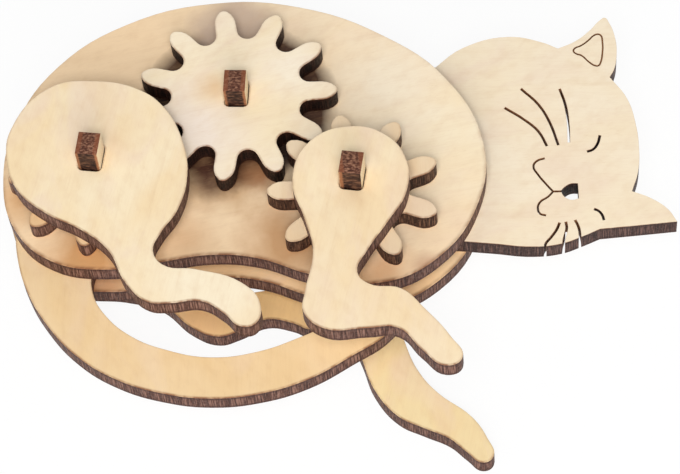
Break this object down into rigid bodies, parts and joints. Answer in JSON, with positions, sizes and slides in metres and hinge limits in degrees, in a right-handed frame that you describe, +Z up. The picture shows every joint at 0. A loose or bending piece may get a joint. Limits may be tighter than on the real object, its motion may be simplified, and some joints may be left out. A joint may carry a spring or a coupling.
{
  "type": "wooden mechanical puzzle",
  "caption": "Flat sleeping cat in laser-cut plywood, with legs on wooden bar shafts that swing together through meshing gears.",
  "frame": {"origin": "centre of the footprint on the table, under the rear legs, with the pictured pose as the rest pose", "axes": "+X toward the nose, +Y toward the cat's back, +Z up out of the front legs"},
  "size_m": [0.094, 0.0678, 0.0268],
  "materials": {
    "body_plywood": "matt birch plywood with charred laser-cut edges",
    "head_plywood": "matt birch plywood with charred laser-cut edges",
    "tail_plywood": "matt birch plywood with charred laser-cut edges",
    "gear_plywood": "matt birch plywood with charred laser-cut edges",
    "leg_plywood": "matt birch plywood with charred laser-cut edges",
    "shaft_plywood": "charred cut faces showing three plies"
  },
  "bodies": {
    "body": {"front_body_plate": "body_plywood", "back_body_plate": "body_plywood", "head": "head_plywood", "tail": "tail_plywood"},
    "hind_drive": {"hind_shaft": "shaft_plywood", "front_hind_gear": "gear_plywood", "rear_hind_gear": "gear_plywood", "front_hind_leg": "leg_plywood", "rear_hind_leg": "leg_plywood"},
    "idler_drive": {"idler_shaft": "shaft_plywood", "front_idler_gear": "gear_plywood", "rear_idler_gear": "gear_plywood"},
    "fore_drive": {"fore_shaft": "shaft_plywood", "front_fore_gear": "gear_plywood", "rear_fore_gear": "gear_plywood", "front_fore_leg": "leg_plywood", "rear_fore_leg": "leg_plywood"}
  },
  "joints": [
    {"name": "hind_swing", "type": "hinge", "parent": "body", "child": "hind_drive", "pos_m": [-0.03364, 0.00458, 0], "axis": [0, 0, 1], "range_deg": [-80, 0]},
    {"name": "idler_spin", "type": "hinge", "parent": "body", "child": "idler_drive", "pos_m": [-0.01395, 0.01627, 0], "axis": [0, 0, 1], "range_deg": [0, 65.45]},
    {"name": "fore_swing", "type": "hinge", "parent": "body", "child": "fore_drive", "pos_m": [0.00252, 0.00036, 0], "axis": [0, 0, 1], "range_deg": [-80, 0]}
  ],
  "couplings": [
    {"joint": "idler_spin", "follows": "hind_swing", "ratio": -0.81818},
    {"joint": "fore_swing", "follows": "hind_swing", "ratio": 1}
  ]
}
